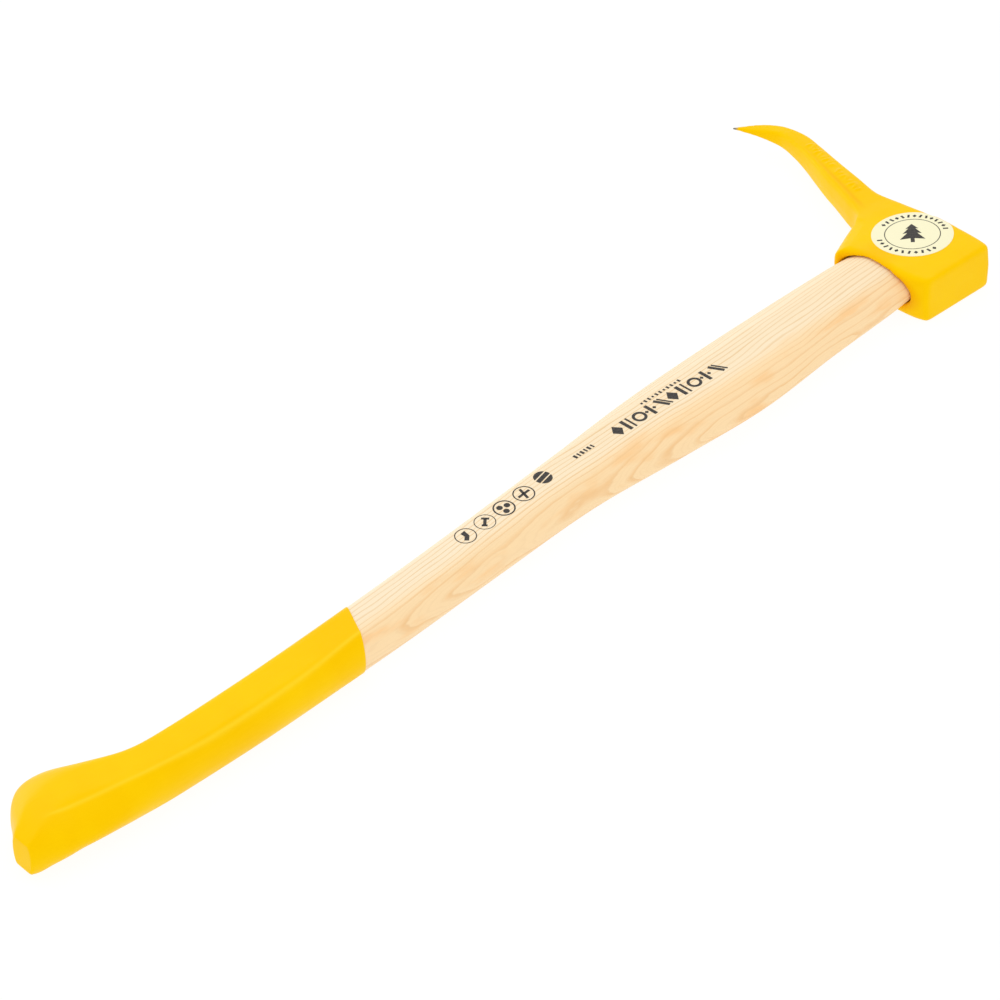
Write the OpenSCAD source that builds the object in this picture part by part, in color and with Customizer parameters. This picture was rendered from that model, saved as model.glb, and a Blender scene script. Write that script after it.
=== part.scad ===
// Forestry log pick with a forged head on a curved ash handle, lying on its side.
// X runs along the handle from the butt to the head's top, Y towards the beak,
// Z out of the cheek that lies uppermost. All lengths are in millimetres.

/* [Handle] */
// Distance from the butt's end face to the top of the head
handle_len = 700; // [640:5:760]
// Thickness of the grip, cheek to cheek
grip_thick = 24.8; // [24:0.2:28]
// Thickness of the tenon where it enters the eye
tenon_thick = 20.4; // [19:0.2:21.2]
// How far the tenon's end stands out of the eye
tenon_proud = 0.8; // [0.2:0.1:2]
// Radius that softens the rim of the butt's end face
butt_round = 1.2; // [0.8:0.2:3]

/* [Head] */
// Thickness of the poll, cheek to cheek
poll_thick = 27.2; // [26:0.2:32]
// Distance from the eye's middle to the beak's tip, across the handle
beak_reach = 160; // [140:0.5:180]
// Radius along the edges of the poll's face
poll_round = 2; // [1:0.5:4]
// Clearance between the tenon and the eye
eye_gap = 0.1; // [0.05:0.05:0.3]
// How much wider the eye is at its mouth, on each side
mouth_flare = 1.6; // [0.5:0.1:2]

/* [Wedges] */
// Depth of the saw kerf in the tenon
kerf_depth = 44; // [35:1:50]
// Thickness of the wooden wedge at its outer end
wedge_thick = 4.2; // [3:0.2:6]
// Thickness of the wooden wedge at its inner end
wedge_toe = 1.4; // [1:0.1:2]
// Outside diameter of the steel ring wedge
ring_d = 15; // [12:0.5:16]
// Length of the steel ring wedge
ring_len = 18; // [12:1:24]
// Wall thickness of the ring wedge at its outer end
ring_wall = 1.6; // [1.2:0.1:2]

/* [Grip coat] */
// Distance from the butt to the coat's edge, at the handle's middle
coat_len = 229.5; // [180:0.5:260]
// Slant of the coat's edge away from square across the handle, in degrees
coat_slant = 28; // [0:1:40]
// Thickness of the coat
coat_thick = 0.4; // [0.3:0.05:0.6]

/* [Label] */
// Diameter of the round label on the cheek
label_d = 45; // [36:0.5:45]
// Thickness of the label
label_thick = 0.2; // [0.15:0.05:0.4]

/* [Hidden] */
// Small clearance between faces that are glued or pressed together
press_gap = 0.03;
// Place of the steel's face round the eye, from the head's top
EYE_FACE = 0.4;
tenon_end = handle_len + EYE_FACE + tenon_proud;

// The handle's outline, as rows of: distance from the butt, beak-side edge, poll-side edge,
// half thickness, and the share of the half width that the cheeks' flats take up.
grip_half = grip_thick / 2;
tenon_half = tenon_thick / 2;
HANDLE = [
    [0, -25, -40.6, grip_half - 3.7, 0.72],
    [6, -18.1, -43, grip_half - 1.4, 0.56],
    [12, -9.9, -44.6, grip_half - 0.3, 0.44],
    [20, -1.6, -46.5, grip_half, 0.36],
    [28, 4, -47.3, grip_half, 0.30],
    [36, 5.8, -48, grip_half, 0.34],
    [46, 4, -48.4, grip_half, 0.40],
    [60, -4.2, -48.1, grip_half, 0.50],
    [80, -15, -47, grip_half, 0.60],
    [100, -17.4, -46.7, grip_half, 0.62],
    [150, -16, -45.9, grip_half, 0.62],
    [200, -12.6, -43.9, grip_half - 0.1, 0.60],
    [handle_len * 0.37, -7.8, -40.6, grip_half - 0.2, 0.60],
    [handle_len * 0.47, -0.8, -35.3, grip_half - 0.3, 0.58],
    [handle_len * 0.57, 7.5, -31.3, grip_half - 0.5, 0.55],
    [handle_len * 0.66, 16, -34.8, tenon_half + 1.4, 0.50],
    [handle_len * 0.745, 20.6, -36.5, tenon_half + 1, 0.45],
    [handle_len - 120, 22.8, -30.5, tenon_half + 0.6, 0.40],
    [handle_len - 70, 23.9, -26.5, tenon_half + 0.2, 0.32],
    [handle_len - 50, 23.2, -24.2, tenon_half, 0.30],
    [handle_len + 10, 22.6, -23.6, tenon_half, 0.30]
];
// The end face leans, and the lean fades out over this length
END_LEAN = 0.1;
LEAN_LEN = 30;
// The arc of each side face stops at this share of its height, which leaves an arris
ARRIS = 0.9;
ARRIS_TURN = asin(ARRIS);
SIDE_STEPS = 8;
RING = 4 * SIDE_STEPS + 2;

// The head's outline, as rows of: distance along the head from the poll's face, the
// butt-side edge (x from the head's top, y), the top-side edge (x, y), the half thickness
// in parts of the poll's, and the radius along the edges.
HEAD = [
    [0, -52.5, -35.5, -2.8, -35.5, 1.00, 2.5],
    [9, -55, -26.5, -1.3, -26.5, 1.00, 3],
    [24.5, -56.4, -11, 0, -11, 0.985, 4],
    [39.5, -56.6, 4, 0.4, 4, 0.935, 4.5],
    [51.5, -57, 16, 0.3, 16, 0.87, 4.5],
    [57.5, -58, 22, 0, 22, 0.84, 4.5],
    [61.5, -59.5, 26, -0.3, 26.5, 0.81, 4.2],
    [66, -54, 31, -0.6, 32, 0.78, 4],
    [72, -42, 35.4, -1.1, 38, 0.735, 3.5],
    [77, -32, 38.4, -1.4, 42.5, 0.70, 3],
    [80.5, -26.6, 41.2, -1.4, 45.5, 0.68, 3],
    [84.5, -22.9, 46.2, -1.1, 49, 0.66, 3],
    [92, -18.6, 56.4, 0, 54.5, 0.635, 2.8],
    [104, -13.4, 69, 3, 65.5, 0.61, 2.6],
    [117, -8.8, 81.4, 6.1, 78, 0.58, 2.5],
    [131, -3.1, 95.2, 9.8, 91.5, 0.53, 2.4],
    [146, 2.5, 109, 14, 106, 0.465, 2.2],
    [160, 6.3, 121.4, 17.3, 119.7, 0.405, 2],
    [171, 8.1, 131.3, 16.5, 134, 0.355, 1.7],
    [180, 6.5, 139.7, 13.2, 144, 0.255, 1.3],
    [187, 4.2, 146, 8.8, 150.9, 0.155, 0.8],
    [198, -1.1, 159.4, -0.6, 159.8, 0.03, 0.15]
];
poll_half = poll_thick / 2;
// The beak starts here and is stretched to its reach; this is the reach the rows are drawn for
BEAK_ROOT_Y = 58;
DRAWN_REACH = 160;
// Forging draft: how far a wall swells towards the parting plane, per unit of its height
DRAFT = 0.08;
ROUND_STEPS = 4;
FLAT_STEPS = 5;

function smooth(t) = let (c = max(0, min(1, t))) c * c * (3 - 2 * c);

// A smooth curve through rows whose first value is the position
function row_before(rows, x, i = 0) = i >= len(rows) - 2 || x < rows[i + 1][0] ? i : row_before(rows, x, i + 1);
function steepness(rows, i) =
    let (a = max(i - 1, 0), b = min(i + 1, len(rows) - 1)) (rows[b] - rows[a]) / (rows[b][0] - rows[a][0]);
function row_at(rows, x) =
    let (
        i = row_before(rows, x),
        span = rows[i + 1][0] - rows[i][0],
        t = (x - rows[i][0]) / span
    )
    rows[i] * (2 * t ^ 3 - 3 * t ^ 2 + 1) + steepness(rows, i) * span * (t ^ 3 - 2 * t ^ 2 + t)
    + rows[i + 1] * (3 * t ^ 2 - 2 * t ^ 3) + steepness(rows, i + 1) * span * (t ^ 3 - t ^ 2);

// How far a corner of radius r has drawn in at distance d from the end
function drawn_in(r, d) = d >= r ? 0 : r - sqrt(r ^ 2 - (r - max(d, 0)) ^ 2);

// Point k of the handle's ring at distance x from the butt, grown outwards
function side_y(half, flat, turn) =
    half * (flat + (1 - flat) * (cos(turn) - cos(ARRIS_TURN)) / (1 - cos(ARRIS_TURN)));
function handle_point(x, k, grow = 0) =
    let (
        row = row_at(HANDLE, max(x, 0)),
        inset = drawn_in(butt_round, x + grow) - grow,
        mid = (row[1] + row[2]) / 2,
        half = (row[1] - row[2]) / 2 - inset,
        quarter = k <= SIDE_STEPS ? 0 : k <= 2 * SIDE_STEPS + 1 ? 1 : k <= 3 * SIDE_STEPS + 1 ? 2 : 3,
        step = [k, 2 * SIDE_STEPS + 1 - k, k - 2 * SIDE_STEPS - 1, RING - k][quarter],
        turn = ARRIS_TURN * step / SIDE_STEPS,
        y = side_y(half, row[4], turn) * [1, -1, -1, 1][quarter],
        z = (row[3] - inset) * sin(turn) / ARRIS * [1, 1, -1, -1][quarter],
        lean = END_LEAN * max(0, 1 - x / LEAN_LEN) ^ 2
    )
    [x + lean * y, mid + y, z];
function handle_ring(x, grow = 0) = [for (k = [0:RING - 1]) handle_point(x, k, grow)];
// The ring leans by up to slant as share goes to 1, and still lies on the handle's surface
function slanted_ring(x, share, grow) =
    let (mid = (row_at(HANDLE, x)[1] + row_at(HANDLE, x)[2]) / 2)
    [for (k = [0:RING - 1])
        let (y = handle_point(x, k)[1]) handle_point(x + tan(coat_slant) * share * (y - mid), k, grow)];

// One skin through rings of equal length, closed flat at both ends
module skin(rings) {
    n = len(rings[0]);
    last = len(rings) - 1;
    polyhedron(
        points = [for (ring = rings, p = ring) p],
        faces = concat(
            [[for (k = [0:n - 1]) k]],
            [for (i = [0:last - 1], k = [0:n - 1])
                let (a = i * n + k, b = i * n + (k + 1) % n) [a, a + n, b]],
            [for (i = [0:last - 1], k = [0:n - 1])
                let (a = i * n + k, b = i * n + (k + 1) % n) [b, a + n, b + n]],
            [[for (k = [n - 1:-1:0]) last * n + k]]
        ),
        convexity = 6
    );
}

// Stations along the handle: close together round the butt and in the eye
function listed(range) = [for (v = range) v];
GRIP_STEPS = concat(
    [for (t = [0:15:75]) butt_round * (1 - cos(t))],
    [3, 5, 8, 11, 15, 20],
    listed([25:5:70])
);
handle_steps = concat(
    GRIP_STEPS,
    listed([80:12:handle_len - 60]),
    listed([handle_len - 55:10:tenon_end - 3]),
    [tenon_end]
);

// The steel's upper surface over a point (x from the head's top, y)
COLLAR_HIGH = 13.8;
COLLAR_POWER = 2.6;
// Past the collar the limit is lifted clear of the beak
COLLAR_FREE = 30;
COLLAR_END = -31;
COLLAR_FADE = 9;
// The collar's half width at its mouth, the mouth's x, and how the half width grows with x
COLLAR_HALF = 28.2;
COLLAR_MOUTH = -59;
COLLAR_WIDENS = 0.45;
// No wall of the head is thinner than this on either side of the parting plane
LEAST_HALF = 0.3;
function collar_reach(x) = COLLAR_HALF + COLLAR_WIDENS * (x - COLLAR_MOUTH);
function collar_limit(x, y) =
    y <= 0 ? COLLAR_FREE
    : COLLAR_HIGH * max(0, 1 - (y / collar_reach(x)) ^ COLLAR_POWER) ^ (1 / COLLAR_POWER)
    + COLLAR_FREE * smooth((x - COLLAR_END) / COLLAR_FADE);
function edge_drop(d, width, r) = drawn_in(r, min(d, width - d));
function thickness_at(x, y, d, width, half, r) =
    max(LEAST_HALF, min(half - edge_drop(d, width, r), collar_limit(x, y)));
function stretched(y) = y <= BEAK_ROOT_Y ? y
    : BEAK_ROOT_Y + (y - BEAK_ROOT_Y) * (beak_reach - BEAK_ROOT_Y) / (DRAWN_REACH - BEAK_ROOT_Y);

// A rounding takes at most these shares of the section's width and of its half thickness
MOST_OF_WIDTH = 0.45;
MOST_OF_HALF = 0.8;

// One ring round the head at station s: parting line, upper face, parting line, lower face
function across(width, r) = concat(
    [for (i = [0:ROUND_STEPS]) r * (1 - cos(90 * i / ROUND_STEPS))],
    [for (i = [1:FLAT_STEPS]) r + (width - 2 * r) * i / (FLAT_STEPS + 1)],
    [for (i = [ROUND_STEPS:-1:0]) width - r * (1 - cos(90 * i / ROUND_STEPS))]
);
function head_ring(s) =
    let (
        row = row_at(HEAD, s),
        inset = drawn_in(poll_round, s),
        a = [row[1] + inset, row[2]],
        b = [row[3] - inset, row[4]],
        width = norm(b - a),
        along = (b - a) / width,
        half = row[5] * poll_half - inset,
        r = min(row[6], width * MOST_OF_WIDTH, half * MOST_OF_HALF),
        spots = across(width, r),
        upper = [for (d = spots) let (p = a + along * d) [p[0], p[1], thickness_at(p[0], p[1], d, width, half, r)]],
        n = len(spots) - 1,
        swell_a = a - along * DRAFT * upper[0][2],
        swell_b = b + along * DRAFT * upper[n][2]
    )
    [for (p = concat(
        [[swell_a[0], swell_a[1], 0]], upper, [[swell_b[0], swell_b[1], 0]],
        [for (i = [n:-1:0]) [upper[i][0], upper[i][1], -upper[i][2]]]
    )) [handle_len + p[0], stretched(p[1]), p[2]]];
head_steps = concat(
    [for (t = [0:18:90]) poll_round * (1 - cos(t))],
    listed([4:4:52]), listed([54:2:92]), listed([97:5:187]), [191, 195, 198]
);
head_rings = [for (s = head_steps) head_ring(s)];

// The coat goes out over the wood, turns at its slanted edge and comes back against the wood.
// Its rings start to lean at this share of its length.
LEAN_FROM = 0.6;
function coat_share(x) = smooth((x / coat_len - LEAN_FROM) / (1 - LEAN_FROM));
coat_steps = concat(GRIP_STEPS, listed([78:8:coat_len - 6]), [coat_len]);
coat_outer = [for (x = coat_steps) slanted_ring(x - (x < butt_round ? coat_thick : 0), coat_share(x), coat_thick)];
coat_inner = [for (x = coat_steps) slanted_ring(x, coat_share(x), press_gap)];
coat_rings = concat(coat_outer, [for (i = [len(coat_steps) - 1:-1:0]) coat_inner[i]]);

// Offsets that put the origin at the middle of the object's footprint, on the floor
coat_points = [for (ring = coat_outer, p = ring) p];
head_points = [for (ring = head_rings, p = ring) p];
low_x = min([for (p = coat_points) p[0]]);
high_x = max([for (p = head_points) p[0]]);
low_y = min([for (p = coat_points) p[1]]);
high_y = max([for (p = head_points) p[1]]);
low_z = min([for (p = concat(coat_points, head_points)) p[2]]);

module in_frame() {
    translate([-(low_x + high_x) / 2, -(low_y + high_y) / 2, -low_z]) children();
}

eye_top = handle_len + 8;
mouth = handle_len - 68;
// Opening of the eye beyond the tenon: the flare starts this far from the head's top and is
// complete after its own length
FLARE_FROM = 44;
FLARE_LEN = 22;
function eye_opening(x) = eye_gap + mouth_flare * smooth((handle_len - FLARE_FROM - x) / FLARE_LEN);
module eye_hole() {
    skin([for (x = concat([mouth], listed([handle_len - 64:3:handle_len - 43]), [handle_len - 20, eye_top]))
        handle_ring(x, eye_opening(x))]);
}

module head() {
    color("gold") in_frame() difference() {
        skin(head_rings);
        eye_hole();
    }
}

module tenon_and_shaft() {
    skin([for (x = handle_steps) handle_ring(x)]);
}

// A wedge-shaped prism across the tenon, grown on each side
WEDGE_SPAN = 60;
// How far the wooden wedge is trimmed below the tenon's end
WEDGE_TRIM = 0.3;
module wedge_prism(grow) {
    outer = tenon_end + 1;
    inner = outer - kerf_depth;
    rotate([90, 0, 0])
        linear_extrude(WEDGE_SPAN, center = true)
            polygon([
                [inner - grow, -wedge_toe / 2 - grow], [outer, -wedge_thick / 2 - grow],
                [outer, wedge_thick / 2 + grow], [inner - grow, wedge_toe / 2 + grow]
            ]);
}

// The ring wedge's wall stands just out of the tenon and thins to a cutting edge
RING_PROUD = 0.2;
// The cutting edge lies between these shares of the wall, from its outside
EDGE_OUTER = 0.4;
EDGE_INNER = 0.6;
module ring_wall_solid(grow) {
    cutting_edge = RING_PROUD - ring_len - grow;
    translate([tenon_end, 0, 0])
        rotate([0, 90, 0])
            rotate_extrude($fn = 64)
                polygon([
                    [ring_d / 2 - ring_wall - grow, RING_PROUD],
                    [ring_d / 2 + grow, RING_PROUD],
                    [ring_d / 2 - ring_wall * EDGE_OUTER + grow, cutting_edge],
                    [ring_d / 2 - ring_wall * EDGE_INNER - grow, cutting_edge]
                ]);
}

module handle() {
    color("burlywood") in_frame() difference() {
        tenon_and_shaft();
        wedge_prism(press_gap);
        ring_wall_solid(press_gap);
    }
}

module eye_wedge() {
    color("peru") in_frame() difference() {
        intersection() {
            wedge_prism(0);
            skin([for (x = [handle_len - 50, handle_len - 20, tenon_end - WEDGE_TRIM]) handle_ring(x)]);
        }
        ring_wall_solid(press_gap);
    }
}

module ring_wedge() {
    color("lightsteelblue") in_frame() ring_wall_solid(0);
}

module grip_coat() {
    color("gold") in_frame() skin(coat_rings);
}

// The label is a thin disc that follows the cheek and turns down over its far edge
LABEL_AT = [-23.3, 2.6];
LABEL_STEPS = 8;
LABEL_SIDES = 48;
function label_point(share, turn, lift) =
    let (
        x = LABEL_AT[0] + share * label_d / 2 * cos(turn),
        y = LABEL_AT[1] + share * label_d / 2 * sin(turn),
        row = row_at(HEAD, y - HEAD[0][2]),
        edge = row[3] - row[6],
        bend = max(0, x - edge) / row[6] * 180 / PI,
        high = min(row[5] * poll_half, collar_limit(x, y))
    )
    [
        handle_len + min(x, edge) + (row[6] + lift) * sin(bend),
        y,
        high - row[6] + (row[6] + lift) * cos(bend)
    ];
function label_ring(share, lift) =
    [for (k = [0:LABEL_SIDES - 1]) label_point(share, -360 * k / LABEL_SIDES, lift)];
module head_label() {
    color("ivory") in_frame() skin(concat(
        [for (i = [1:LABEL_STEPS]) label_ring(i / LABEL_STEPS, label_thick)],
        [for (i = [LABEL_STEPS:-1:1]) label_ring(i / LABEL_STEPS, press_gap)]
    ));
}

head();
handle();
eye_wedge();
ring_wedge();
grip_coat();
head_label();
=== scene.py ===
"""Looks of a forestry log pick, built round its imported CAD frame.

Shapes are worked out in millimetres in the part's drawing frame: X runs from the butt to the
head's top, Y towards the beak, Z out of the upper cheek, and Z 0 is the mid-plane. to_row()
turns them into metres in the row frame, which is the frame of every Blender object here.
"""
import math

import bmesh
import bpy
import numpy as np
from mathutils import Matrix, Vector
from mathutils.bvhtree import BVHTree
from mathutils.geometry import tessellate_polygon


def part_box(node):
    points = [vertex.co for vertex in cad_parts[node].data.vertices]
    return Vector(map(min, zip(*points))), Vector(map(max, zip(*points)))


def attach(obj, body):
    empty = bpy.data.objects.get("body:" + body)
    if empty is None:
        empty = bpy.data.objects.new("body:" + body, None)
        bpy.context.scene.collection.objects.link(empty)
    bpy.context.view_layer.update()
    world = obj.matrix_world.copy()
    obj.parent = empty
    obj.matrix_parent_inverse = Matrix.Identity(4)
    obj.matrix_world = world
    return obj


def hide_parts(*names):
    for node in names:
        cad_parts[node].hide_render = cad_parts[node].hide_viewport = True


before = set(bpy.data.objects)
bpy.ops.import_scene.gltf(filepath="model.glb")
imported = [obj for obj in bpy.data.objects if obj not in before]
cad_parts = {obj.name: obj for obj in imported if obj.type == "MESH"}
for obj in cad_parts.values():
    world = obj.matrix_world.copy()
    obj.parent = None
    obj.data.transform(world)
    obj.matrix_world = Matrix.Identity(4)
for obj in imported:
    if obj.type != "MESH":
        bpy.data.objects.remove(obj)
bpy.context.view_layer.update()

# ---------------------------------------------------------------- drawing sizes, as in part.scad
HANDLE_LEN = 700.0
TENON_PROUD = 0.8
EYE_FACE = 0.4
TENON_END = HANDLE_LEN + EYE_FACE + TENON_PROUD
GRIP_HALF = 12.4
TENON_HALF = 10.2
BUTT_ROUND = 1.2
POLL_HALF = 13.6
POLL_ROUND = 2.0
POLL_Y = -35.5
EYE_GAP = 0.1
MOUTH_FLARE = 1.6
KERF_DEPTH = 44.0
WEDGE_THICK = 4.2
WEDGE_TOE = 1.4
RING_D = 15.0
RING_LEN = 18.0
RING_WALL = 1.6
RING_PROUD = 0.2
COAT_LEN = 229.5
COAT_SLANT = math.tan(math.radians(28))
COAT_THICK = 0.4
LABEL_D = 45.0
LABEL_THICK = 0.2
LABEL_AT = (-23.3, 2.6)
PRESS_GAP = 0.03

# The handle's stations: distance from the butt, beak-side edge, poll-side edge, half thickness,
# share of the flats
HANDLE = np.array([
    [0, -25, -40.6, GRIP_HALF - 3.7, 0.72],
    [6, -18.1, -43, GRIP_HALF - 1.4, 0.56],
    [12, -9.9, -44.6, GRIP_HALF - 0.3, 0.44],
    [20, -1.6, -46.5, GRIP_HALF, 0.36],
    [28, 4, -47.3, GRIP_HALF, 0.30],
    [36, 5.8, -48, GRIP_HALF, 0.34],
    [46, 4, -48.4, GRIP_HALF, 0.40],
    [60, -4.2, -48.1, GRIP_HALF, 0.50],
    [80, -15, -47, GRIP_HALF, 0.60],
    [100, -17.4, -46.7, GRIP_HALF, 0.62],
    [150, -16, -45.9, GRIP_HALF, 0.62],
    [200, -12.6, -43.9, GRIP_HALF - 0.1, 0.60],
    [HANDLE_LEN * 0.37, -7.8, -40.6, GRIP_HALF - 0.2, 0.60],
    [HANDLE_LEN * 0.47, -0.8, -35.3, GRIP_HALF - 0.3, 0.58],
    [HANDLE_LEN * 0.57, 7.5, -31.3, GRIP_HALF - 0.5, 0.55],
    [HANDLE_LEN * 0.66, 16, -34.8, TENON_HALF + 1.4, 0.50],
    [HANDLE_LEN * 0.745, 20.6, -36.5, TENON_HALF + 1, 0.45],
    [HANDLE_LEN - 120, 22.8, -30.5, TENON_HALF + 0.6, 0.40],
    [HANDLE_LEN - 70, 23.9, -26.5, TENON_HALF + 0.2, 0.32],
    [HANDLE_LEN - 50, 23.2, -24.2, TENON_HALF, 0.30],
    [HANDLE_LEN + 10, 22.6, -23.6, TENON_HALF, 0.30],
])
# How much the butt's end face leans, over how long a stretch the lean fades, and the sine of the
# turn at which the handle's rounded side meets its flat
END_LEAN = 0.1
LEAN_LEN = 30.0
ARRIS = 0.9
ARRIS_TURN = math.asin(ARRIS)

# The head's stations: distance from the poll's face, butt-side edge (x, y), top-side edge (x, y),
# half thickness in parts of the poll's, edge radius; x is measured from the head's top
HEAD = np.array([
    [0, -52.5, -35.5, -2.8, -35.5, 1.00, 2.5],
    [9, -55, -26.5, -1.3, -26.5, 1.00, 3],
    [24.5, -56.4, -11, 0, -11, 0.985, 4],
    [39.5, -56.6, 4, 0.4, 4, 0.935, 4.5],
    [51.5, -57, 16, 0.3, 16, 0.87, 4.5],
    [57.5, -58, 22, 0, 22, 0.84, 4.5],
    [61.5, -59.5, 26, -0.3, 26.5, 0.81, 4.2],
    [66, -54, 31, -0.6, 32, 0.78, 4],
    [72, -42, 35.4, -1.1, 38, 0.735, 3.5],
    [77, -32, 38.4, -1.4, 42.5, 0.70, 3],
    [80.5, -26.6, 41.2, -1.4, 45.5, 0.68, 3],
    [84.5, -22.9, 46.2, -1.1, 49, 0.66, 3],
    [92, -18.6, 56.4, 0, 54.5, 0.635, 2.8],
    [104, -13.4, 69, 3, 65.5, 0.61, 2.6],
    [117, -8.8, 81.4, 6.1, 78, 0.58, 2.5],
    [131, -3.1, 95.2, 9.8, 91.5, 0.53, 2.4],
    [146, 2.5, 109, 14, 106, 0.465, 2.2],
    [160, 6.3, 121.4, 17.3, 119.7, 0.405, 2],
    [171, 8.1, 131.3, 16.5, 134, 0.355, 1.7],
    [180, 6.5, 139.7, 13.2, 144, 0.255, 1.3],
    [187, 4.2, 146, 8.8, 150.9, 0.155, 0.8],
    [198, -1.1, 159.4, -0.6, 159.8, 0.03, 0.15],
])
DRAFT = 0.08

# The collar's dome: its height and roundness, its half width at its mouth and how fast that grows
# towards the head's top, and where it ends; COLLAR_FREE is too high to limit anything
COLLAR_HIGH = 13.8
COLLAR_POWER = 2.6
COLLAR_MOUTH = -59.0
COLLAR_HALF = 28.2
COLLAR_WIDENS = 0.45
COLLAR_END = -31.0
COLLAR_FADE = 9.0
COLLAR_FREE = 30.0


# ---------------------------------------------------------------- frame and mesh helpers
# The row frame's origin in the drawing frame, from three places that both frames know
ring_low, ring_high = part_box("ring_wedge")
ORIGIN = np.array([
    TENON_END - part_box("handle")[1].x * 1000,
    POLL_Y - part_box("head")[0].y * 1000,
    -(ring_low.z + ring_high.z) / 2 * 1000,
])


def to_row(points):
    return (np.asarray(points, float) - ORIGIN) / 1000


def drawn_places(obj):
    """The mesh's points in the drawing frame."""
    return np.array([v.co for v in obj.data.vertices]) * 1000 + ORIGIN


def store(obj, name, values):
    """Keeps one number, or one vector, for each of the mesh's points."""
    values = np.asarray(values, np.float32)
    kind, field = ("FLOAT", "value") if values.ndim == 1 else ("FLOAT_VECTOR", "vector")
    kept = obj.data.attributes.new(name, kind, "POINT")
    kept.data.foreach_set(field, values.ravel())


def smooth(t):
    c = np.clip(t, 0, 1)
    return c * c * (3 - 2 * c)


def row_at(rows, x):
    """Values of a smooth curve through rows, whose first column is the position."""
    x = np.atleast_1d(np.asarray(x, float))
    last = len(rows) - 1
    before = np.maximum(np.arange(last + 1) - 1, 0)
    after = np.minimum(np.arange(last + 1) + 1, last)
    slope = (rows[after] - rows[before]) / (rows[after, :1] - rows[before, :1])
    i = np.clip(np.searchsorted(rows[:, 0], x, side="right") - 1, 0, last - 1)
    span = (rows[i + 1, 0] - rows[i, 0])[:, None]
    t = (x - rows[i, 0])[:, None] / span
    return (
        rows[i] * (2 * t**3 - 3 * t**2 + 1)
        + slope[i] * span * (t**3 - 2 * t**2 + t)
        + rows[i + 1] * (3 * t**2 - 2 * t**3)
        + slope[i + 1] * span * (t**3 - t**2)
    )


def drawn_in(radius, distance):
    """How far a corner of that radius has drawn in at a distance from the end."""
    d = np.clip(distance, 0, radius)
    return radius - np.sqrt(np.maximum(0, radius**2 - (radius - d) ** 2))


def make_object(name, vertices, faces):
    """A smooth-shaded mesh object from points in the drawing frame."""
    mesh = bpy.data.meshes.new(name)
    mesh.from_pydata([tuple(p) for p in to_row(vertices)], [], faces)
    mesh.validate()
    mesh.shade_smooth()
    obj = bpy.data.objects.new(name, mesh)
    bpy.context.scene.collection.objects.link(obj)
    return obj


def skin(name, rings):
    """One closed skin through rings of equal length."""
    rings = np.asarray(rings, float)
    count, size = rings.shape[:2]
    points = list(rings.reshape(-1, 3))
    faces = []
    for i in range(count - 1):
        for k in range(size):
            a, b = i * size + k, i * size + (k + 1) % size
            faces.append((a, a + size, b + size, b))
    for ring, flip in ((0, False), (count - 1, True)):
        centre = len(points)
        points.append(rings[ring].mean(axis=0))
        for k in range(size):
            edge = (ring * size + k, ring * size + (k + 1) % size)
            faces.append((centre, *edge[::-1]) if flip else (centre, *edge))
    return make_object(name, points, faces)


def point_outwards(obj):
    mesh = bmesh.new()
    mesh.from_mesh(obj.data)
    bmesh.ops.recalc_face_normals(mesh, faces=mesh.faces)
    mesh.to_mesh(obj.data)
    mesh.free()


def settle(obj):
    """Applies the object's modifiers."""
    graph = bpy.context.evaluated_depsgraph_get()
    graph.update()
    done = bpy.data.meshes.new_from_object(obj.evaluated_get(graph))
    obj.modifiers.clear()
    old = obj.data
    obj.data = done
    bpy.data.meshes.remove(old)


def cut(obj, tool):
    knife = obj.modifiers.new("cut", "BOOLEAN")
    knife.operation = "DIFFERENCE"
    knife.solver = "EXACT"
    knife.object = tool
    settle(obj)
    bpy.data.objects.remove(tool)


def crease(obj, degrees):
    """Smooth shading, but sharp over edges that turn by more than the angle."""
    mesh = bmesh.new()
    mesh.from_mesh(obj.data)
    limit = math.radians(degrees)
    for face in mesh.faces:
        face.smooth = True
    for edge in mesh.edges:
        edge.smooth = len(edge.link_faces) == 2 and edge.calc_face_angle(0) < limit
    mesh.to_mesh(obj.data)
    mesh.free()


def surface_of(obj):
    mesh = bmesh.new()
    mesh.from_mesh(obj.data)
    tree = BVHTree.FromBMesh(mesh)
    mesh.free()
    return tree


# ---------------------------------------------------------------- handle
ARC_STEPS = 28
FLAT_STEPS = 24
SOFTEN = 9


def ring_plan():
    """For each point of the handle's ring: its share of the flat, its share of the arc, its height."""
    plan = []
    arc = np.linspace(0, ARRIS_TURN, ARC_STEPS + 1)
    flat = np.linspace(1, -1, FLAT_STEPS + 1)[1:-1]
    bulge = (np.cos(arc) - math.cos(ARRIS_TURN)) / (1 - math.cos(ARRIS_TURN))
    high = np.sin(arc) / ARRIS
    plan += [(1, b, h) for b, h in zip(bulge, high)]
    plan += [(f, 0, 1) for f in flat]
    plan += [(-1, -b, h) for b, h in zip(bulge[::-1], high[::-1])]
    plan += [(-1, -b, -h) for b, h in zip(bulge[1:], high[1:])]
    plan += [(f, 0, -1) for f in -flat]
    plan += [(1, b, -h) for b, h in zip(bulge[:0:-1], high[:0:-1])]
    return np.array(plan)


PLAN = ring_plan()


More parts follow.
